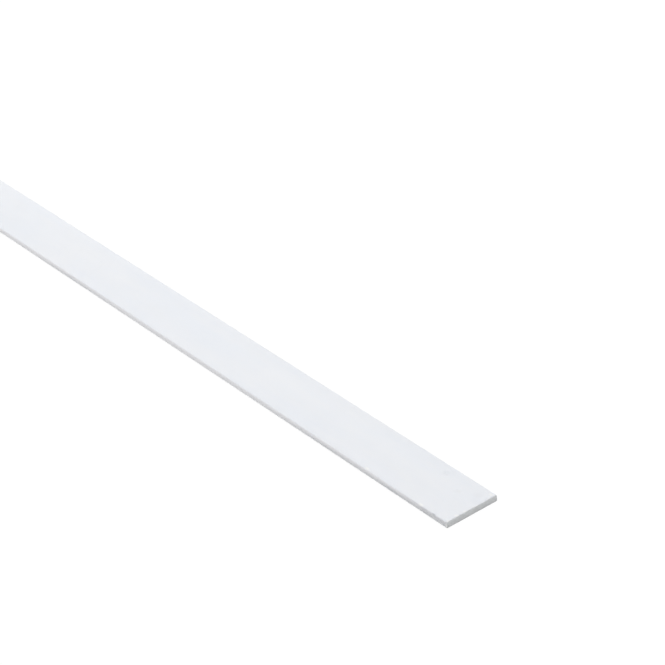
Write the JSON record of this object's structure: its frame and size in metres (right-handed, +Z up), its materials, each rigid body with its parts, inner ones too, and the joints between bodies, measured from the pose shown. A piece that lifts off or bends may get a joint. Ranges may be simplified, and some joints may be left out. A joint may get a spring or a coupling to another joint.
{
  "type": "pvc flat bar",
  "caption": "Straight flat bar of white rigid PVC with softened long edges and square sawn ends, for trim and cover strips.",
  "frame": {"origin": "centre of the underside, at the middle of the bar's length and width", "axes": "+X along the bar, towards the sawn end that the picture shows; +Y across its width; +Z up through its thickness"},
  "size_m": [1, 0.02, 0.002],
  "materials": {
    "white_pvc": "satin"
  },
  "bodies": {
    "root": {"flat_bar": "white_pvc"}
  },
  "joints": []
}
